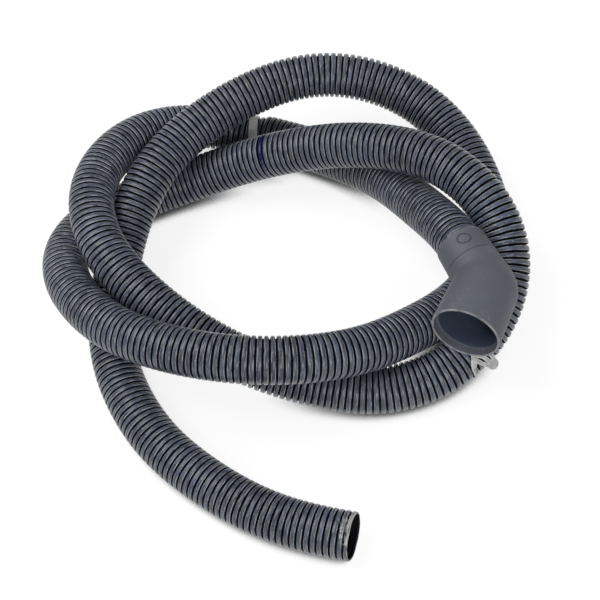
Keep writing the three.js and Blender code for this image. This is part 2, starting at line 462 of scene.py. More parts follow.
def ink_value(distance, across, height, pitch):
    """How much ink lies at a place: on one side of one ridge, fading downwards."""
    middle = (math.floor(INK_AT / pitch) + INK_MIDDLE) * pitch
    if abs(distance - middle) > INK_HALF_WIDTH * pitch or height < INK_LOWEST:
        return 0.0
    if across.dot(TO_CAMERA) < INK_ROUND:
        return 0.0
    fade = INK_STRENGTH + INK_FADE * across.dot(PICTURE_UP)
    return fade if height < CROWN_HEIGHT else fade * INK_ON_CROWN


def station_places(line, stations):
    """The middle of each station's ring; the stations themselves needn't rise."""
    order = sorted(range(len(stations)), key=lambda i: stations[i][0])
    places = respaced(line, [stations[i][0] for i in order])
    return dict(zip(order, places))


def frame_at(turns, spot):
    """Tangent and side vectors between two of the line's points."""
    k = int(spot)
    t = spot - k
    return [a.lerp(b, t).normalized() for a, b in zip(turns[k], turns[k + 1])]


def make_hose():
    """The whole hose as one closed wall, its outside first and then its inside."""
    settings = bpy.context.scene.drain_hose
    line = hose_line()
    total = running_lengths(line)[-1]
    pitch = ridge_pitch(total, settings)
    outside = outside_stations(total, settings)
    last = outside[-1]
    lip = (last[0], last[1] - settings.wall, LIP_HEIGHT)
    stations = outside + [lip] + inside_stations(total, settings)
    point_at = station_places(line, stations)
    turns = frames_along(line)
    spacing = total / (len(line) - 1)
    last_spot = len(line) - 1.001
    back_tie = distance_of(line, BACK_TIE_AT)
    front_tie = distance_of(line, FRONT_TIE_AT)
    tie_place = strand_matrix(BACK_TIE_AT, BACK_TIE_ALONG)
    _, tie_lean = round_strand(tie_place, 0, BACK_BAND_LEAN_AT, 0)
    vertices = []
    heights = []
    ink = []
    end_sheen = []
    for i, (distance, radius, height) in enumerate(stations):
        tangent, side, other = frame_at(turns, min(distance / spacing, last_spot))
        radius -= FRONT_WAIST * bump_at(distance, front_tie, WAIST_REACH)
        end_share = max(0.0, 1 - (total - distance) / CUT_SHEEN_LENGTH)
        for j in range(HOSE_SIDES):
            angle = math.tau * j / HOSE_SIDES - math.pi / 2
            across = side * math.cos(angle) + other * math.sin(angle)
            band = back_tie + band_distance(across.dot(tie_lean)) * MM
            waist = BACK_WAIST * bump_at(distance, band, WAIST_REACH)
            point = point_at[i] + across * (radius - waist)
            if distance > total - pitch / 2:
                point += tangent * cut_shift(across, radius)
            vertices.append(point)
            heights.append(height)
            ink.append(ink_value(distance, across, height, pitch) if i < len(outside) else 0.0)
            # Painted highlight: the cut end's pale marks are strongest on its upper side, partly
            # wear
            end_sheen.append(end_share * max(CUT_SHEEN_LEAST, across.dot(CUT_LIT_SIDE)))
    faces = faces_between(len(stations), HOSE_SIDES, True)
    piece = object_from("corrugated_hose", vertices, faces)
    point_values(piece, "ridge_height", heights)
    point_values(piece, "ink", ink)
    point_values(piece, "rubbed_and_lit", end_sheen)
    write_hose_uv(piece, stations, settings)
    smooth(piece, HOSE_SHARP)
    finish_piece(piece, "drain_hose", hose_material(settings))


def write_hose_uv(piece, stations, settings):
    """UV map of the hose in metres: U goes round it, V is the distance along it."""
    layer = piece.data.uv_layers.new(name="along_hose")
    girth = math.pi * settings.diameter
    for face in piece.data.polygons:
        for corner in face.loop_indices:
            vertex = piece.data.loops[corner].vertex_index
            ring, place = divmod(vertex, HOSE_SIDES)
            u = place / HOSE_SIDES
            if face.index % HOSE_SIDES == HOSE_SIDES - 1 and place == 0:
                u = 1.0
            layer.data[corner].uv = (u * girth, stations[ring][0])


# Elbow, modelled along its neck's axis and then put in place

ELBOW_SIDES = 72
ELBOW_SHARP = 35
MERGE_WITHIN = 0.02 * MM
NECK_LENGTH = 26.2 * MM
NECK_STEP_AT = 18.5 * MM
NECK_STEP = 0.3 * MM
PARTING_DEPTH = 0.3 * MM
PARTING_WIDTH = 0.8 * MM
NECK_BORE_RADIUS = 17.6 * MM
NECK_DEPTH = 26 * MM
BEND_ARC = 17 * MM
BEND_STATIONS = 14
CREASE_RADIUS = 0.6 * MM
BEND_IN_RADIUS = 19.7 * MM
BEND_OUT_RADIUS = 23.4 * MM
MOUTH_LENGTH = 38.1 * MM
MOUTH_SEAT_RADIUS = 22.9 * MM
MOUTH_SEAT_DEPTH = 5.5 * MM
MOUTH_STRAIGHT = 15 * MM
# How far the bore steps in behind the mouth's seat and past the hose's end
SEAT_STEP = 1.6 * MM
BORE_STEP = 1.6 * MM
ELBOW_WALL = 2.2 * MM
BEND_EXTRA_WALL = 0.4 * MM
RIM_ROUND = 0.45 * MM
RIM_RUB = 1.2 * MM
# Where the groove at the parting line has its bottom, as shares of its width
PARTING_BOTTOM = (0.35, 0.65)
# What counts as rim, in rim roundings, and as inside, in walls
RIM_SHARE = 1.2
INSIDE_SHARE = 0.7
# Plain oval ring moulded on the neck: distance from the rim, angle round the neck,
# half its length and breadth, its turn, and the ring's own thickness
OVAL_AT = 8.3 * MM
OVAL_ANGLE = math.radians(-81.5)
OVAL_HALF = (4.9 * MM, 3.9 * MM)
OVAL_TURN = math.radians(-17)
OVAL_THICK = 0.45 * MM
OVAL_HEIGHT = 0.9
OVAL_SEGMENTS = (48, 10)
# Painted shade on the ring: how high on it, and how much below and above that
OVAL_SHADE_UP_TO = 0.075
OVAL_SHADE = (1.0, 0.6)
# Moulding nub on the bend
NUB_AT = 29 * MM
NUB_ANGLE = math.radians(-47)
NUB_RADIUS = 0.7 * MM
NUB_SINK = 0.2 * MM
NUB_SEGMENTS = (16, 10)


def elbow_radius(s, settings):
    """Outer radius of the elbow at a distance from the neck's rim."""
    bend_end = NECK_LENGTH + BEND_ARC
    if s <= NECK_LENGTH:
        step = NECK_STEP if s > NECK_STEP_AT else 0.0
        start = settings.neck_diameter / 2
        return start + (BEND_IN_RADIUS - NECK_STEP - start) * s / NECK_LENGTH + step
    if s <= bend_end:
        t = (s - NECK_LENGTH) / BEND_ARC
        return BEND_IN_RADIUS + (BEND_OUT_RADIUS - BEND_IN_RADIUS) * t * t * (3 - 2 * t)
    t = (s - bend_end) / MOUTH_LENGTH
    return BEND_OUT_RADIUS + (settings.mouth_diameter / 2 - BEND_OUT_RADIUS) * t


def elbow_station(s, settings):
    """Centre and turn of the section at a distance from the neck's rim."""
    if s <= NECK_LENGTH:
        return Vector((s, 0, 0)), 0.0
    bend_end = NECK_LENGTH + BEND_ARC
    turn = settings.bend * min(1.0, (s - NECK_LENGTH) / BEND_ARC)
    reach = elbow_radius(min(s, bend_end), settings) + CREASE_RADIUS
    past = max(0.0, s - bend_end)
    x = NECK_LENGTH + math.sin(turn) * reach + math.cos(turn) * past
    y = BEND_IN_RADIUS + CREASE_RADIUS - math.cos(turn) * reach + math.sin(turn) * past
    return Vector((x, y, 0)), turn


def elbow_point(s, angle, height, settings):
    """A place on the elbow's outside, or at a height over it."""
    centre, turn = elbow_station(s, settings)
    outward = Vector((-math.sin(turn), math.cos(turn), 0))
    radius = elbow_radius(s, settings) + height
    return centre + outward * math.cos(angle) * radius + Vector((0, 0, math.sin(angle) * radius))


def ring_chain(name, rings, sides):
    """Extrudes a circle through rings of (centre, turn, radius) and closes the chain."""
    deselect_all()
    centre, _, radius = rings[0]
    bpy.ops.mesh.primitive_circle_add(
        vertices=sides, radius=radius, location=centre,
        rotation=(0, math.pi / 2, 0))
    piece = bpy.context.object
    piece.name = name
    bpy.ops.object.transform_apply(location=True, rotation=True, scale=True)
    bpy.ops.object.mode_set(mode="EDIT")
    bpy.ops.mesh.select_all(action="SELECT")
    for (c0, turn0, r0), (c1, turn1, r1) in zip(rings, rings[1:] + rings[:1]):
        bpy.ops.mesh.extrude_region_move(TRANSFORM_OT_translate={"value": c1 - c0})
        if turn1 != turn0:
            bpy.ops.transform.rotate(value=turn0 - turn1, orient_axis="Z", center_override=c1)
        if r1 != r0:
            k = r1 / r0
            bpy.ops.transform.resize(value=(k, k, k), center_override=c1)
    bpy.ops.mesh.select_all(action="SELECT")
    bpy.ops.mesh.remove_doubles(threshold=MERGE_WITHIN)
    bpy.ops.mesh.normals_make_consistent(inside=False)
    bpy.ops.object.mode_set(mode="OBJECT")
    return piece


def elbow_profile(settings):
    """Distances from the neck's rim and radii, along the outside and back inside."""
    mouth_end = NECK_LENGTH + BEND_ARC + MOUTH_LENGTH

    def outer(s):
        return s, elbow_radius(s, settings)

    def neck_step():
        low = outer(NECK_STEP_AT)
        high = outer(NECK_STEP_AT + PARTING_WIDTH)
        bottom = low[1] - PARTING_DEPTH
        yield low
        for share in PARTING_BOTTOM:
            yield NECK_STEP_AT + PARTING_WIDTH * share, bottom
        yield high

    profile = [(0.0, NECK_BORE_RADIUS + RIM_ROUND / 2), (0.0, outer(0.0)[1] - RIM_ROUND)]
    profile += [outer(RIM_ROUND), outer(RIM_RUB), *neck_step()]
    bends = [NECK_LENGTH + BEND_ARC * k / BEND_STATIONS for k in range(BEND_STATIONS + 1)]
    profile += [outer(s) for s in bends]
    profile += [outer(mouth_end - MOUTH_STRAIGHT), outer(mouth_end - RIM_RUB)]
    profile += [outer(mouth_end - RIM_ROUND), (mouth_end, outer(mouth_end)[1] - RIM_ROUND)]
    profile += [(mouth_end, MOUTH_SEAT_RADIUS + RIM_ROUND / 2)]
    profile += [(mouth_end - RIM_ROUND / 2, MOUTH_SEAT_RADIUS)]
    profile += [(mouth_end - RIM_RUB, MOUTH_SEAT_RADIUS)]
    profile += [(mouth_end - MOUTH_SEAT_DEPTH, MOUTH_SEAT_RADIUS)]
    profile += [(mouth_end - MOUTH_SEAT_DEPTH - RIM_ROUND, MOUTH_SEAT_RADIUS - SEAT_STEP)]
    profile += [(s, elbow_radius(s, settings) - ELBOW_WALL - BEND_EXTRA_WALL)
                for s in reversed(bends)]
    profile += [(NECK_DEPTH, NECK_BORE_RADIUS - BORE_STEP), (NECK_DEPTH, NECK_BORE_RADIUS)]
    profile += [(RIM_RUB, NECK_BORE_RADIUS), (RIM_ROUND / 2, NECK_BORE_RADIUS)]
    return profile


def oval_ring(settings):
    """The plain oval ring on the neck: a torus pressed oval and wrapped on the neck."""
    deselect_all()
    bpy.ops.mesh.primitive_torus_add(
        major_radius=1.0, minor_radius=OVAL_THICK / OVAL_HALF[1],
        major_segments=OVAL_SEGMENTS[0], minor_segments=OVAL_SEGMENTS[1])
    ring = bpy.context.object
    # Painted shade: the ring is darkened all over, most on its lower flanks
    low, high = OVAL_SHADE
    crease_shade = [low if v.co.z < OVAL_SHADE_UP_TO else high for v in ring.data.vertices]
    point_values(ring, "crease_shade", crease_shade)
    radius = elbow_radius(OVAL_AT, settings)
    for vertex in ring.data.vertices:
        x = vertex.co.x * OVAL_HALF[0]
        y = vertex.co.y * OVAL_HALF[1]
        along = x * math.sin(OVAL_TURN) + y * math.cos(OVAL_TURN)
        across = x * math.cos(OVAL_TURN) - y * math.sin(OVAL_TURN)
        height = vertex.co.z * OVAL_HALF[1] * OVAL_HEIGHT
        vertex.co = elbow_point(OVAL_AT + along, OVAL_ANGLE + across / radius, height, settings)
    return ring


def moulding_nub(settings):
    deselect_all()
    place = elbow_point(NUB_AT, NUB_ANGLE, -NUB_SINK, settings)
    bpy.ops.mesh.primitive_uv_sphere_add(
        segments=NUB_SEGMENTS[0], ring_count=NUB_SEGMENTS[1], radius=NUB_RADIUS,
        location=place)
    bpy.ops.object.transform_apply(location=True, rotation=True, scale=True)
    return bpy.context.object


def elbow_place():
    """Matrix from the elbow's own axes to the frame."""
    side = (MOUTH_SIDE - NECK_AXIS * MOUTH_SIDE.dot(NECK_AXIS)).normalized()
    across = NECK_AXIS.cross(side)
    turn = Matrix((NECK_AXIS, side, across)).transposed().to_4x4()
    return Matrix.Translation(NECK_RIM) @ turn


def elbow_position(place, settings):
    """How far along the elbow a place lies from the neck's rim, and how far off its axis."""
    arm = place - Vector((NECK_LENGTH, BEND_IN_RADIUS + CREASE_RADIUS, 0))
    turn = max(0.0, min(settings.bend, math.atan2(arm.x, -arm.y)))
    s = NECK_LENGTH + BEND_ARC * turn / settings.bend
    if turn == 0.0:
        s = place.x
    elif turn == settings.bend:
        s += arm.dot(Vector((math.cos(turn), math.sin(turn), 0)))
    centre, _ = elbow_station(s, settings)
    return s, (place - centre).length


def mark_elbow(piece, settings):
    """Point values for the material: 1 on the rims, at the bottom of the fine groove, and
    inside; the last two carry painted shade.
    """
    end = NECK_LENGTH + BEND_ARC + MOUTH_LENGTH
    rims = []
    crease_shade = []
    inside = []
    for vertex in piece.data.vertices:
        s, off = elbow_position(vertex.co, settings)
        skin = elbow_radius(s, settings)
        at_rim = s < RIM_ROUND * RIM_SHARE or s > end - RIM_ROUND * RIM_SHARE
        in_groove = NECK_STEP_AT < s < NECK_STEP_AT + PARTING_WIDTH and off > NECK_BORE_RADIUS
        bottom = elbow_radius(NECK_STEP_AT, settings) - PARTING_DEPTH / 2
        inside_shade = off < skin - ELBOW_WALL * INSIDE_SHARE and s < end - MOUTH_SEAT_DEPTH
        rims.append(1.0 if at_rim else 0.0)
        crease_shade.append(1.0 if in_groove and off < bottom else 0.0)
        inside.append(1.0 if inside_shade else 0.0)
    point_values(piece, "rim", rims)
    point_values(piece, "crease_shade", crease_shade)
    point_values(piece, "inside", inside)


def make_elbow():
    settings = bpy.context.scene.drain_elbow
    rings = []
    for s, radius in elbow_profile(settings):
        centre, turn = elbow_station(s, settings)
        rings.append((centre, turn, radius))
    piece = ring_chain("elbow_moulding", rings, ELBOW_SIDES)
    mark_elbow(piece, settings)
    join(piece, [oval_ring(settings), moulding_nub(settings)])
    piece.data.transform(elbow_place())
    smooth(piece, ELBOW_SHARP)
    finish_piece(piece, "elbow_connector", elbow_material(settings))


# Ties: flat strips laid round a strand. A stop of a strip is its distance along the
# strand, its angle round the strand in degrees, its height over the hose, and its
# width, in millimetres.

FRONT_BAND = (
    (2.6, 60, 0.1, 4.4), (5.4, 100, 0.1, 4.8), (4.9, 126, 0.2, 5.2), (1.6, 140, 0.3, 5.2),
    (-1.5, 153, 0.4, 3.8), (-3.0, 169, 0.3, 2.0), (-3.0, 195, 0.1, 2.2), (-1.6, 240, 0.1, 3.2),
    (0.0, 300, 0.1, 4.0), (1.0, 380, 0.1, 4.0),
)
FRONT_ARMS = (
    ((0.4, 132, 0.9, 2.8), (3.2, 146, 1.3, 3.0), (5.4, 160, 2.2, 2.9), (8.6, 173, 3.6, 3.2)),
    ((0.5, 112, 0.9, 2.6), (4.5, 127, 1.1, 3.0), (7.4, 142, 1.6, 3.0), (9.0, 155, 2.4, 2.9),
     (9.9, 166, 3.8, 3.0)),
    ((0.4, 98, 0.9, 2.4), (6.0, 112, 1.0, 2.6), (11.0, 134, 1.1, 2.8), (13.2, 156, 1.8, 2.9),
     (13.0, 166, 3.2, 3.0), (11.6, 173, 4.2, 3.0)),
)
FOLD_AT = (10.6, 171, 4.2)
FOLD_RADIUS = 4.2 * MM
FOLD_FACES = Vector((0.28, -0.72, 0.63)).normalized()
FOLD_SIDES = 36
# The fold's thickness and bevel in strip thicknesses
FOLD_THICK = 1.3
FOLD_BEVEL = 0.4
STRIP_STEPS = 6
TIE_SHARP = 40
# A strip's corners: their cut as a share of half its width, and their roundness
CORNER_CUT = 0.3
CORNER_ROUND = 0.7
# The back band sits a little askew: its middle, its lean and the lean's direction
BACK_BAND_TURNS = 24
BACK_BAND_MIDDLE = 1.0
BACK_BAND_LEAN = 3.0
BACK_BAND_LEAN_AT = 147
BACK_CREASE = ((4.2, 95, 0.7, 1.0), (2.0, 97, 1.1, 1.4), (-0.4, 94, 0.7, 1.0))


def strand_matrix(centre, along):
    """Matrix that turns the X axis along a strand and moves to its centre."""
    level = Vector((0, 0, 1)).cross(along).normalized()
    upward = along.cross(level)
    turn = Matrix((along, level, upward)).transposed().to_4x4()
    return Matrix.Translation(centre) @ turn


def round_strand(place, distance, degrees, reach):
    """A place round a strand, and the direction that points straight out there."""
    angle = math.radians(degrees)
    out = Vector((0, math.cos(angle), math.sin(angle)))
    return place @ (Vector((distance, 0, 0)) + out * reach), place.to_3x3() @ out


def strip_section(width, thick):
    """Corners of a flat strip's section, and how near each is to the strip's edges."""
    w = width / 2
    t = thick / 2
    c = min(t, w * CORNER_CUT)
    d = c * CORNER_ROUND
    half = [(0, t, 0.0), (w - c, t, 0.8), (w, t - d, 1.0), (w, d - t, 1.0), (w - c, -t, 0.8)]
    return half + [(-x, -y, edge) for x, y, edge in half]


def strip(name, place, stops, reach, thick, closed):
    """A flat strip through the stops, lying round a strand."""
    if closed:
        turn = Vector((0, 360, 0, 0))
        around = [stops[-1] - turn, *stops, stops[0] + turn, stops[1] + turn]
        line = curve_points(around, STRIP_STEPS)
        line = line[STRIP_STEPS:STRIP_STEPS * (len(stops) + 1)]
    else:
        line = curve_points(stops, STRIP_STEPS)
    count = len(line)
    spots = [round_strand(place, p[0] * MM, p[1], reach + p[2] * MM) for p in line]
    vertices = []
    edges = []
    for i, (point, out) in enumerate(spots):
        before = spots[i - 1][0] if closed or i > 0 else point
        after = spots[(i + 1) % count][0] if closed or i < count - 1 else point
        tangent = (after - before).normalized()
        wide = tangent.cross(out).normalized()
        deep = wide.cross(tangent)
        for x, y, edge in strip_section(line[i][3] * MM, thick):
            vertices.append(point + wide * x + deep * y)
            edges.append(edge)
    corners = len(vertices) // count
    faces = faces_between(count, corners, closed)
    if not closed:
        faces.append(tuple(range(corners)))
        faces.append(tuple(reversed(range((count - 1) * corners, count * corners))))
    piece = object_from(name, vertices, faces)
    point_values(piece, "edge", edges)
    face_outwards(piece)
    return piece


def band_distance(lean):
    """How far along the strand the askew back band sits, from its lean there, in mm."""
    return BACK_BAND_MIDDLE + BACK_BAND_LEAN * lean


def make_back_tie():
    settings = bpy.context.scene.drain_ties
    hose = bpy.context.scene.drain_hose
    place = strand_matrix(BACK_TIE_AT, BACK_TIE_ALONG)
    reach = hose.diameter / 2 - BACK_WAIST + TIE_SEAT + settings.strip_thickness / 2
    width = settings.back_width / MM
    stops = []
    for k in range(BACK_BAND_TURNS):
        degrees = 360 * k / BACK_BAND_TURNS
        lean = math.cos(math.radians(degrees - BACK_BAND_LEAN_AT))
        stops.append(Vector((band_distance(lean), degrees, 0, width)))
    piece = strip("back_tie_band", place, stops, reach, settings.strip_thickness, True)
    stops = [Vector(stop) for stop in BACK_CREASE]
    join(piece, [strip("back_tie_crease", place, stops, reach, settings.strip_thickness, False)])
    smooth(piece, TIE_SHARP)
    material = tie_material("back tie strip", settings.back_lit_colour, settings.edge_highlight_colour)
    finish_piece(piece, "coil_tie_back", material)


def fold_disc(place, reach, thick):
    """The round fold where the front tie's strips meet."""
    distance, degrees, height = FOLD_AT
    centre, _ = round_strand(place, distance * MM, degrees, reach + height * MM)
    deselect_all()
    bpy.ops.mesh.primitive_cylinder_add(
        vertices=FOLD_SIDES, radius=FOLD_RADIUS, depth=thick * FOLD_THICK, location=centre,
        rotation=FOLD_FACES.to_track_quat("Z", "Y").to_euler())
    disc = bpy.context.object
    bpy.ops.object.transform_apply(location=True, rotation=True, scale=True)
    bpy.ops.object.mode_set(mode="EDIT")
    bpy.ops.mesh.select_all(action="SELECT")
    bpy.ops.mesh.bevel(offset=thick * FOLD_BEVEL, segments=2, affect="EDGES")
    bpy.ops.object.mode_set(mode="OBJECT")
    point_values(disc, "edge", [0.0] * len(disc.data.vertices))
    return disc


def make_front_tie():
    settings = bpy.context.scene.drain_ties
    hose = bpy.context.scene.drain_hose
    place = strand_matrix(FRONT_TIE_AT, FRONT_TIE_ALONG)
    thick = settings.strip_thickness
    reach = hose.diameter / 2 - FRONT_WAIST + TIE_SEAT + thick / 2
    stops = [Vector(stop) for stop in FRONT_BAND]
    piece = strip("front_tie_strip", place, stops, reach, thick, True)
    others = [fold_disc(place, reach, thick)]
    for arm in FRONT_ARMS:
        stops = [Vector(stop) for stop in arm]
        others.append(strip("front_tie_arm", place, stops, reach, thick, False))
    join(piece, others)
    smooth(piece, TIE_SHARP)
    material = tie_material("front tie strip", settings.front_colour, settings.edge_highlight_colour)
    finish_piece(piece, "coil_tie_front", material)


# Nodes of the materials. A node's inputs are given as values or as other nodes' outputs.

MIX_FACTOR, MIX_A, MIX_B, MIX_RESULT = 0, 6, 7, 2


def add_node(tree, kind, settings, inputs):
    made = tree.nodes.new(kind)
    for name, value in settings.items():
        setattr(made, name, value)
    for name, value in inputs.items():
        if isinstance(value, bpy.types.NodeSocket):
            tree.links.new(value, made.inputs[name])
        else:
            made.inputs[name].default_value = value
    return made


def calculate(tree, operation, a, b):
    return add_node(tree, "ShaderNodeMath", {"operation": operation}, {0: a, 1: b}).outputs[0]


def times(tree, a, b):
    return calculate(tree, "MULTIPLY", a, b)


def plus(tree, a, b):
    return calculate(tree, "ADD", a, b)


def rising(tree, value, low, high):
    """0 below the low value, 1 over the high one, and smooth between."""
    made = add_node(tree, "ShaderNodeMapRange", {"interpolation_type": "SMOOTHSTEP"},
                    {"Value": value, "From Min": low, "From Max": high})
    return made.outputs["Result"]


def mixed(tree, factor, a, b):
    """Mixes two colours."""
    made = add_node(tree, "ShaderNodeMix", {"data_type": "RGBA"},
                    {MIX_FACTOR: factor, MIX_A: a, MIX_B: b})
    return made.outputs[MIX_RESULT]


def noise_value(tree, vector, scale, detail):
    made = add_node(tree, "ShaderNodeTexNoise", {},
                    {"Vector": vector, "Scale": scale, "Detail": detail})
    return made.outputs["Fac"]


def scaled(tree, vector, factors):
    made = add_node(tree, "ShaderNodeMapping", {}, {"Vector": vector, "Scale": factors})
    return made.outputs[0]


def attribute_value(tree, name):
    return add_node(tree, "ShaderNodeAttribute", {"attribute_name": name}, {}).outputs["Fac"]


def object_places(tree):
    return tree.nodes.new("ShaderNodeTexCoord").outputs["Object"]


def rgba(colour, share=1.0):
    return (colour[0] * share, colour[1] * share, colour[2] * share, 1.0)


def tinted(colour, shares):
    """A colour with a share of its own for each of red, green and blue."""
    return (*(value * share for value, share in zip(colour, shares)), 1.0)


def new_group(name, inputs, output):
    """An empty node group with named inputs and one number as its output."""
    group = bpy.data.node_groups.new(name, "ShaderNodeTree")
    for label, kind in inputs:
        group.interface.new_socket(name=label, in_out="INPUT", socket_type=kind)
    group.interface.new_socket(name=output, in_out="OUTPUT", socket_type="NodeSocketFloat")
    return group, group.nodes.new("NodeGroupInput"), group.nodes.new("NodeGroupOutput")


def scuff_group():
    """Broken scuff marks: fine streaks inside a few patches. Amount is about their share."""
    if "scuff marks" in bpy.data.node_groups:
        return bpy.data.node_groups["scuff marks"]
    inputs = (("Vector", "NodeSocketVector"), ("Scale", "NodeSocketFloat"),
              ("Amount", "NodeSocketFloat"))
    group, source, result = new_group("scuff marks", inputs, "Mask")
    patch = noise_value(group, source.outputs["Vector"], source.outputs["Scale"], 3.0)
    fine_scale = times(group, source.outputs["Scale"], SCUFF_FINENESS)
    fine = noise_value(group, source.outputs["Vector"], fine_scale, 2.0)
    both = times(group, rising(group, patch, *SCUFF_PATCHES), rising(group, fine, *SCUFF_LINES))
    mask = times(group, both, source.outputs["Amount"])
    group.links.new(calculate(group, "MINIMUM", mask, 1.0), result.inputs["Mask"])
    return group


def grain_group():
    """Fine grain of a moulded surface, as a height."""
    if "moulded grain" in bpy.data.node_groups:
        return bpy.data.node_groups["moulded grain"]
    inputs = (("Vector", "NodeSocketVector"), ("Scale", "NodeSocketFloat"))
    group, source, result = new_group("moulded grain", inputs, "Height")
    fine = noise_value(group, source.outputs["Vector"], source.outputs["Scale"], 4.0)
    broad_scale = times(group, source.outputs["Scale"], GRAIN_COARSENESS)
    broad = noise_value(group, source.outputs["Vector"], broad_scale, 2.0)
    total = plus(group, times(group, fine, GRAIN_FINE_SHARE),
                 times(group, broad, GRAIN_BROAD_SHARE))
    group.links.new(total, result.inputs["Height"])
    return group


def scuffs(tree, vector, scale, amount):
    made = add_node(tree, "ShaderNodeGroup", {"node_tree": scuff_group()},
                    {"Vector": vector, "Scale": scale, "Amount": amount})
    return made.outputs["Mask"]


def grain(tree, vector, scale):
    made = add_node(tree, "ShaderNodeGroup", {"node_tree": grain_group()},
                    {"Vector": vector, "Scale": scale})
    return made.outputs["Height"]


def plastic(name):
    """A new material, its node tree and its shader."""
    material = bpy.data.materials.new(name)
    material.use_nodes = True
    tree = material.node_tree
    return material, tree, tree.nodes["Principled BSDF"]


def raise_surface(tree, shader, height, strength, distance):
    bump = add_node(tree, "ShaderNodeBump", {},
                    {"Height": height, "Strength": strength, "Distance": distance})
    tree.links.new(bump.outputs["Normal"], shader.inputs["Normal"])


# Values of the materials. A pair is where a pattern starts to show and where it is full.

SCUFF_FINENESS = 11.0
SCUFF_PATCHES = (0.5, 0.72)
SCUFF_LINES = (0.45, 0.7)
GRAIN_COARSENESS = 0.12
GRAIN_FINE_SHARE = 0.6
GRAIN_BROAD_SHARE = 0.4

# Patterns stretched round the hose and along it, per metre
STREAKS = (70, 1500, 1)
SHEEN_AND_WEAR_PATCHES = (110, 260, 1)
SPECKS = (420, 900, 1)
SCUFF_STRETCH = (1, 3, 1)
# Patterns in the frame, per metre
HOSE_CLOUD = 14.0
HOSE_DUST = 9.0
HOSE_SCUFFS = 95.0
TORN_EDGE = 420.0
INK_BLOTS = 640.0
# Heights on a ridge
CROWN_FROM = (0.6, 0.92)
SHOULDER_FROM = (0.8, 0.88)
SHOULDER_TO = (0.94, 1.0)
SPECKS_FROM = (0.8, 0.95)
SCUFFS_FROM = (0.7, 0.95)
CREST_FROM = (0.5, 0.95)
# Tints as shares of red, green and blue
CROWN_DARK = 0.5
CROWN_PALE = 1.5
DUST_TINT = (1.3, 1.1, 0.8)
TORN_AND_LIT_TINT = (1.2, 1.15, 1.06)

ELBOW_CLOUD = 28.0
ELBOW_GRAIN = 1400.0
ELBOW_STAINS = 45.0
ELBOW_SCUFFS = 60.0
RIM_PATCHES = 160.0
STAIN_TINT = (1.25, 1.0, 0.8)
# Painted shade inside the elbow, as shares of its colour
INSIDE_SHADE_TINT = (0.25, 0.38, 0.65)

TIE_CLOUD = 260.0
TIE_GRAIN = 1800.0


# Materials

def hose_crown(tree, settings, places, streak):
    """Colour of the ridges: streaks and clouds of grey, and some tan dust."""
    cloud = noise_value(tree, places, HOSE_CLOUD, 2.0)
    tone = plus(tree, times(tree, streak, 0.75), times(tree, cloud, 0.25))
    crown = mixed(tree, rising(tree, tone, 0.42, 0.58), rgba(settings.colour, CROWN_DARK),
                  rgba(settings.colour, CROWN_PALE))
    dust = rising(tree, noise_value(tree, places, HOSE_DUST, 3.0), 0.5, 0.68)
    tan = tinted(settings.colour, DUST_TINT)
    return mixed(tree, times(tree, dust, 0.25), crown, tan)


def hose_sheen_and_wear(tree, around, height):
    """Mask of the painted highlight along the ridges' shoulders, partly rubbed wear, in patches,
    and of specks on the crowns.
    """
    shoulder = times(tree, rising(tree, height, *SHOULDER_FROM),
                     calculate(tree, "SUBTRACT", 1.0, rising(tree, height, *SHOULDER_TO)))
    patches = noise_value(tree, scaled(tree, around, SHEEN_AND_WEAR_PATCHES), 1.0, 3.0)
    sheen_and_wear = times(tree, shoulder, rising(tree, patches, 0.4, 0.62))
    crown = rising(tree, height, *SPECKS_FROM)
    specks = noise_value(tree, scaled(tree, around, SPECKS), 1.0, 2.0)
    specks = times(tree, crown, rising(tree, specks, 0.6, 0.72))
    return calculate(tree, "MAXIMUM", sheen_and_wear, times(tree, specks, 0.5))


def torn_and_lit_end(tree, places, streak):
    """Mask of the paler cut end: partly frayed plastic, partly a painted highlight on its upper
    side.
    """
    ragged = plus(tree, noise_value(tree, places, TORN_EDGE, 3.0), 0.1)
    torn = times(tree, attribute_value(tree, "rubbed_and_lit"), ragged)
    return times(tree, rising(tree, torn, 0.34, 0.46), rising(tree, streak, 0.42, 0.54))


def pen_line(tree, places):
    """Mask of the ink, broken up into blots."""
    blot = noise_value(tree, places, INK_BLOTS, 2.0)
    ink = times(tree, attribute_value(tree, "ink"), plus(tree, blot, 0.35))
    return rising(tree, ink, 0.5, 0.64)


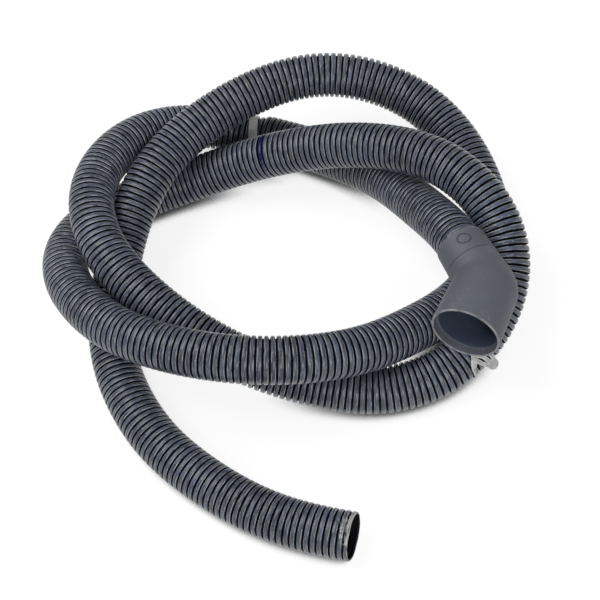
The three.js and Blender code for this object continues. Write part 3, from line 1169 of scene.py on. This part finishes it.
def hose_material(settings):
    """Satin plastic: streaked ridges, a painted highlight on the partly rubbed shoulders and the
    cut end, painted shade in the grooves and inside, one pen line.
    """
    material, tree, shader = plastic("hose satin plastic")
    places = object_places(tree)
    around = add_node(tree, "ShaderNodeUVMap", {"uv_map": "along_hose"}, {}).outputs[0]
    height = attribute_value(tree, "ridge_height")
    streak = noise_value(tree, scaled(tree, around, STREAKS), 1.0, 4.0)
    crown = hose_crown(tree, settings, places, streak)
    # Painted shade: the grooves and the inside of the wall are mixed towards near black
    colour = mixed(tree, rising(tree, height, *CROWN_FROM), rgba(settings.groove_shade_colour), crown)
    # Painted highlight: pale colour along the shoulders, partly rubbed wear
    colour = mixed(tree, times(tree, hose_sheen_and_wear(tree, around, height), 0.75), colour,
                   rgba(settings.rubbed_and_sheen_colour))
    # More scuff marks towards the cut end, following its wear and painted highlight
    amount = plus(tree, times(tree, attribute_value(tree, "rubbed_and_lit"), 2.2), 0.3)
    marks = scuffs(tree, scaled(tree, around, SCUFF_STRETCH), HOSE_SCUFFS, amount)
    marks = times(tree, marks, rising(tree, height, *SCUFFS_FROM))
    colour = mixed(tree, marks, colour, rgba(settings.rubbed_and_sheen_colour, 1.3))
    # Painted highlight and frayed wear at the cut end
    colour = mixed(tree, torn_and_lit_end(tree, places, streak), colour,
                   tinted(settings.rubbed_and_sheen_colour, TORN_AND_LIT_TINT))
    colour = mixed(tree, pen_line(tree, places), colour, rgba(settings.ink_colour))
    tree.links.new(colour, shader.inputs["Base Color"])
    crest = rising(tree, height, *CREST_FROM)
    satin = plus(tree, times(tree, streak, 0.3), 0.22)
    sunk = times(tree, calculate(tree, "SUBTRACT", 1.0, crest), 0.4)
    tree.links.new(plus(tree, satin, sunk), shader.inputs["Roughness"])
    tree.links.new(times(tree, crest, 0.7), shader.inputs["Coat Weight"])
    shader.inputs["Coat Roughness"].default_value = 0.3
    shader.inputs["Specular IOR Level"].default_value = 0.15
    raise_surface(tree, shader, streak, 0.35, 0.15 * MM)
    return material


def elbow_material(settings):
    """Matt moulded plastic with fine grain, a few faint scuffs, rims that are partly rubbed and
    partly a painted highlight, and painted shade on the oval ring, at the bottom of the parting
    groove and inside.
    """
    material, tree, shader = plastic("elbow matt plastic")
    places = object_places(tree)
    cloud = noise_value(tree, places, ELBOW_CLOUD, 3.0)
    fine = grain(tree, places, ELBOW_GRAIN)
    tone = plus(tree, times(tree, cloud, 0.7), times(tree, fine, 0.3))
    colour = mixed(tree, rising(tree, tone, 0.3, 0.7), rgba(settings.colour, 0.92),
                   rgba(settings.colour, 1.08))
    stains = rising(tree, noise_value(tree, places, ELBOW_STAINS, 4.0), 0.62, 0.75)
    colour = mixed(tree, times(tree, stains, 0.25), colour, tinted(settings.colour, STAIN_TINT))
    marks = scuffs(tree, places, ELBOW_SCUFFS, 0.5)
    colour = mixed(tree, marks, colour, rgba(settings.rubbed_and_sheen_colour, 0.8))
    # Painted highlight along the rounded rims, partly rubbed wear, broken into patches
    rim = times(tree, rising(tree, attribute_value(tree, "rim"), 0.5, 1.0),
                rising(tree, noise_value(tree, places, RIM_PATCHES, 2.0), 0.2, 0.6))
    colour = mixed(tree, times(tree, rim, 0.7), colour, rgba(settings.rubbed_and_sheen_colour))
    # Painted shade: the inside of the elbow is darkened and turned bluish
    inside_shade = times(tree, attribute_value(tree, "inside"), 0.7)
    colour = mixed(tree, inside_shade, colour, tinted(settings.colour, INSIDE_SHADE_TINT))
    # Painted shade: the oval ring and the bottom of the parting groove are darkened
    crease_shade = rising(tree, attribute_value(tree, "crease_shade"), 0.3, 0.9)
    colour = mixed(tree, times(tree, crease_shade, 0.85), colour, rgba(settings.colour, 0.12))
    tree.links.new(colour, shader.inputs["Base Color"])
    rough = plus(tree, times(tree, cloud, 0.2), 0.48)
    tree.links.new(rough, shader.inputs["Roughness"])
    raise_surface(tree, shader, fine, 0.25, 0.1 * MM)
    return material


def tie_material(name, strip_colour, edge_highlight_colour):
    """Pale clouded strip with a painted highlight along its edges, and fine grain."""
    material, tree, shader = plastic(name)
    places = object_places(tree)
    cloud = noise_value(tree, places, TIE_CLOUD, 3.0)
    fine = grain(tree, places, TIE_GRAIN)
    colour = mixed(tree, rising(tree, cloud, 0.35, 0.65), rgba(strip_colour, 0.85),
                   rgba(strip_colour, 1.12))
    # Painted highlight: the strips' edges are mixed towards the paler colour
    edge = rising(tree, attribute_value(tree, "edge"), 0.55, 0.95)
    colour = mixed(tree, times(tree, edge, 0.8), colour, rgba(edge_highlight_colour))
    tree.links.new(colour, shader.inputs["Base Color"])
    rough = plus(tree, times(tree, cloud, 0.2), 0.26)
    tree.links.new(rough, shader.inputs["Roughness"])
    raise_surface(tree, shader, fine, 0.2, 0.1 * MM)
    return material


# Stage

def add_area_light(name, at, size, power):
    """A square lamp that shines at the middle of the frame."""
    data = bpy.data.lights.new(name, "AREA")
    data.size = size
    data.energy = power
    lamp = bpy.data.objects.new(name, data)
    lamp.location = at
    lamp.rotation_euler = (-at).to_track_quat("-Z", "Y").to_euler()
    bpy.context.scene.collection.objects.link(lamp)


def camera_view():
    data = bpy.data.cameras.new("photo_camera")
    data.sensor_fit = "HORIZONTAL"
    data.sensor_width = CAMERA_SENSOR
    data.lens = CAMERA_LENS
    data.clip_start = CAMERA_NEAREST
    camera = bpy.data.objects.new("photo_camera", data)
    tilt = Matrix.Rotation(math.pi / 2 - CAMERA_DOWN, 4, "X")
    roll = Matrix.Rotation(CAMERA_ROLL, 4, "Z")
    camera.matrix_world = Matrix.Translation(CAMERA_AT) @ tilt @ roll
    bpy.context.scene.collection.objects.link(camera)
    bpy.context.scene.camera = camera


def background_rays(tree):
    """Value that is 1 for rays that should meet the floor's own light."""
    path = tree.nodes.new("ShaderNodeLightPath")
    seen = calculate(tree, "MAXIMUM", path.outputs["Is Camera Ray"],
                     path.outputs["Is Glossy Ray"])
    return calculate(tree, "MAXIMUM", seen, path.outputs["Is Transmission Ray"])


# Floor: its size in metres, its own grey and the light that it adds, and how wide a
# crevice is that loses the light, with how much open sky it sees there
FLOOR_SIZE = 8
FLOOR_GREY = 0.26
FLOOR_GLOW = 0.84
CREVICE = 28 * MM
CREVICE_SKY = (0.3, 0.52)
CREVICE_SAMPLES = 16
# Lamps: where they stand and how wide they are, in metres
KEY_LIGHT = (Vector((-0.9, 0.5, 1.9)), 1.4)
FRONT_LIGHT = (Vector((0.2, -1.8, 1.1)), 0.9)


def floor_material():
    """White floor that keeps a faint shadow: most of its white is its own light, which
    fades out in the crevices between strands."""
    material = bpy.data.materials.new("floor white")
    material.use_nodes = True
    tree = material.node_tree
    tree.nodes.clear()
    diffuse = add_node(tree, "ShaderNodeBsdfDiffuse", {},
                       {"Color": (FLOOR_GREY, FLOOR_GREY, FLOOR_GREY, 1)})
    open_sky = add_node(tree, "ShaderNodeAmbientOcclusion", {"samples": CREVICE_SAMPLES},
                        {"Distance": CREVICE}).outputs["AO"]
    glow = times(tree, rising(tree, open_sky, *CREVICE_SKY), FLOOR_GLOW)
    strength = times(tree, background_rays(tree), glow)
    glow = add_node(tree, "ShaderNodeEmission", {}, {"Strength": strength})
    both = add_node(tree, "ShaderNodeAddShader", {}, {0: diffuse.outputs[0], 1: glow.outputs[0]})
    add_node(tree, "ShaderNodeOutputMaterial", {}, {"Surface": both.outputs[0]})
    return material


def make_world(strength):
    """Even light from all sides, and pale grey where the camera sees past the floor."""
    world = bpy.data.worlds.new("studio")
    world.use_nodes = True
    bpy.context.scene.world = world
    tree = world.node_tree
    tree.nodes.clear()
    even = add_node(tree, "ShaderNodeBackground", {}, {"Strength": strength})
    pale = add_node(tree, "ShaderNodeBackground", {}, {"Strength": 1.0})
    path = tree.nodes.new("ShaderNodeLightPath")
    mix = add_node(tree, "ShaderNodeMixShader", {}, {
        "Fac": path.outputs["Is Camera Ray"], 1: even.outputs[0], 2: pale.outputs[0]})
    add_node(tree, "ShaderNodeOutputWorld", {}, {"Surface": mix.outputs[0]})


def make_stage():
    settings = bpy.context.scene.drain_stage
    camera_view()
    deselect_all()
    bpy.ops.mesh.primitive_plane_add(size=FLOOR_SIZE)
    floor = bpy.context.object
    floor.name = "floor"
    floor.data.materials.append(floor_material())
    add_area_light("key_light", *KEY_LIGHT, settings.key_power)
    add_area_light("front_light", *FRONT_LIGHT, settings.front_power)
    make_world(settings.world_strength)
    bpy.context.scene.view_settings.view_transform = "Standard"


# Operators and panel

class DRAINHOSE_OT_hose(bpy.types.Operator):
    """Builds the corrugated hose along its route"""
    bl_idname = "drainhose.hose"
    bl_label = "Corrugated hose"

    def execute(self, context):
        make_hose()
        return {"FINISHED"}


class DRAINHOSE_OT_elbow(bpy.types.Operator):
    """Builds the moulded elbow connector"""
    bl_idname = "drainhose.elbow"
    bl_label = "Elbow connector"

    def execute(self, context):
        make_elbow()
        return {"FINISHED"}


class DRAINHOSE_OT_ties(bpy.types.Operator):
    """Builds the two ties round the coil"""
    bl_idname = "drainhose.ties"
    bl_label = "Coil ties"

    def execute(self, context):
        make_back_tie()
        make_front_tie()
        return {"FINISHED"}


class DRAINHOSE_OT_stage(bpy.types.Operator):
    """Sets up the floor, the lamps and the camera"""
    bl_idname = "drainhose.stage"
    bl_label = "Stage"

    def execute(self, context):
        make_stage()
        return {"FINISHED"}


class DRAINHOSE_PT_panel(bpy.types.Panel):
    bl_label = "Drain hose"
    bl_idname = "DRAINHOSE_PT_panel"
    bl_space_type = "VIEW_3D"
    bl_region_type = "UI"
    bl_category = "Drain hose"

    def draw(self, context):
        for operator, group in PANEL_ROWS:
            box = self.layout.box()
            box.operator(operator)
            settings = getattr(context.scene, group)
            for name in settings.__annotations__:
                box.prop(settings, name)


SETTINGS = (
    ("drain_hose", HoseSettings),
    ("drain_elbow", ElbowSettings),
    ("drain_ties", TieSettings),
    ("drain_stage", StageSettings),
)
PANEL_ROWS = (
    ("drainhose.stage", "drain_stage"),
    ("drainhose.hose", "drain_hose"),
    ("drainhose.elbow", "drain_elbow"),
    ("drainhose.ties", "drain_ties"),
)
CLASSES = (
    DRAINHOSE_OT_hose,
    DRAINHOSE_OT_elbow,
    DRAINHOSE_OT_ties,
    DRAINHOSE_OT_stage,
    DRAINHOSE_PT_panel,
)


def register():
    for name, group in SETTINGS:
        bpy.utils.register_class(group)
        setattr(bpy.types.Scene, name, PointerProperty(type=group))
    for cls in CLASSES:
        bpy.utils.register_class(cls)


def unregister():
    for cls in reversed(CLASSES):
        bpy.utils.unregister_class(cls)
    for name, group in reversed(SETTINGS):
        delattr(bpy.types.Scene, name)
        bpy.utils.unregister_class(group)


def main():
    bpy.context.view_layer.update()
    register()
    for operator, _ in PANEL_ROWS:
        group, name = operator.split(".")
        getattr(getattr(bpy.ops, group), name)()
    bpy.context.view_layer.update()


if __name__ == "__main__":
    main()
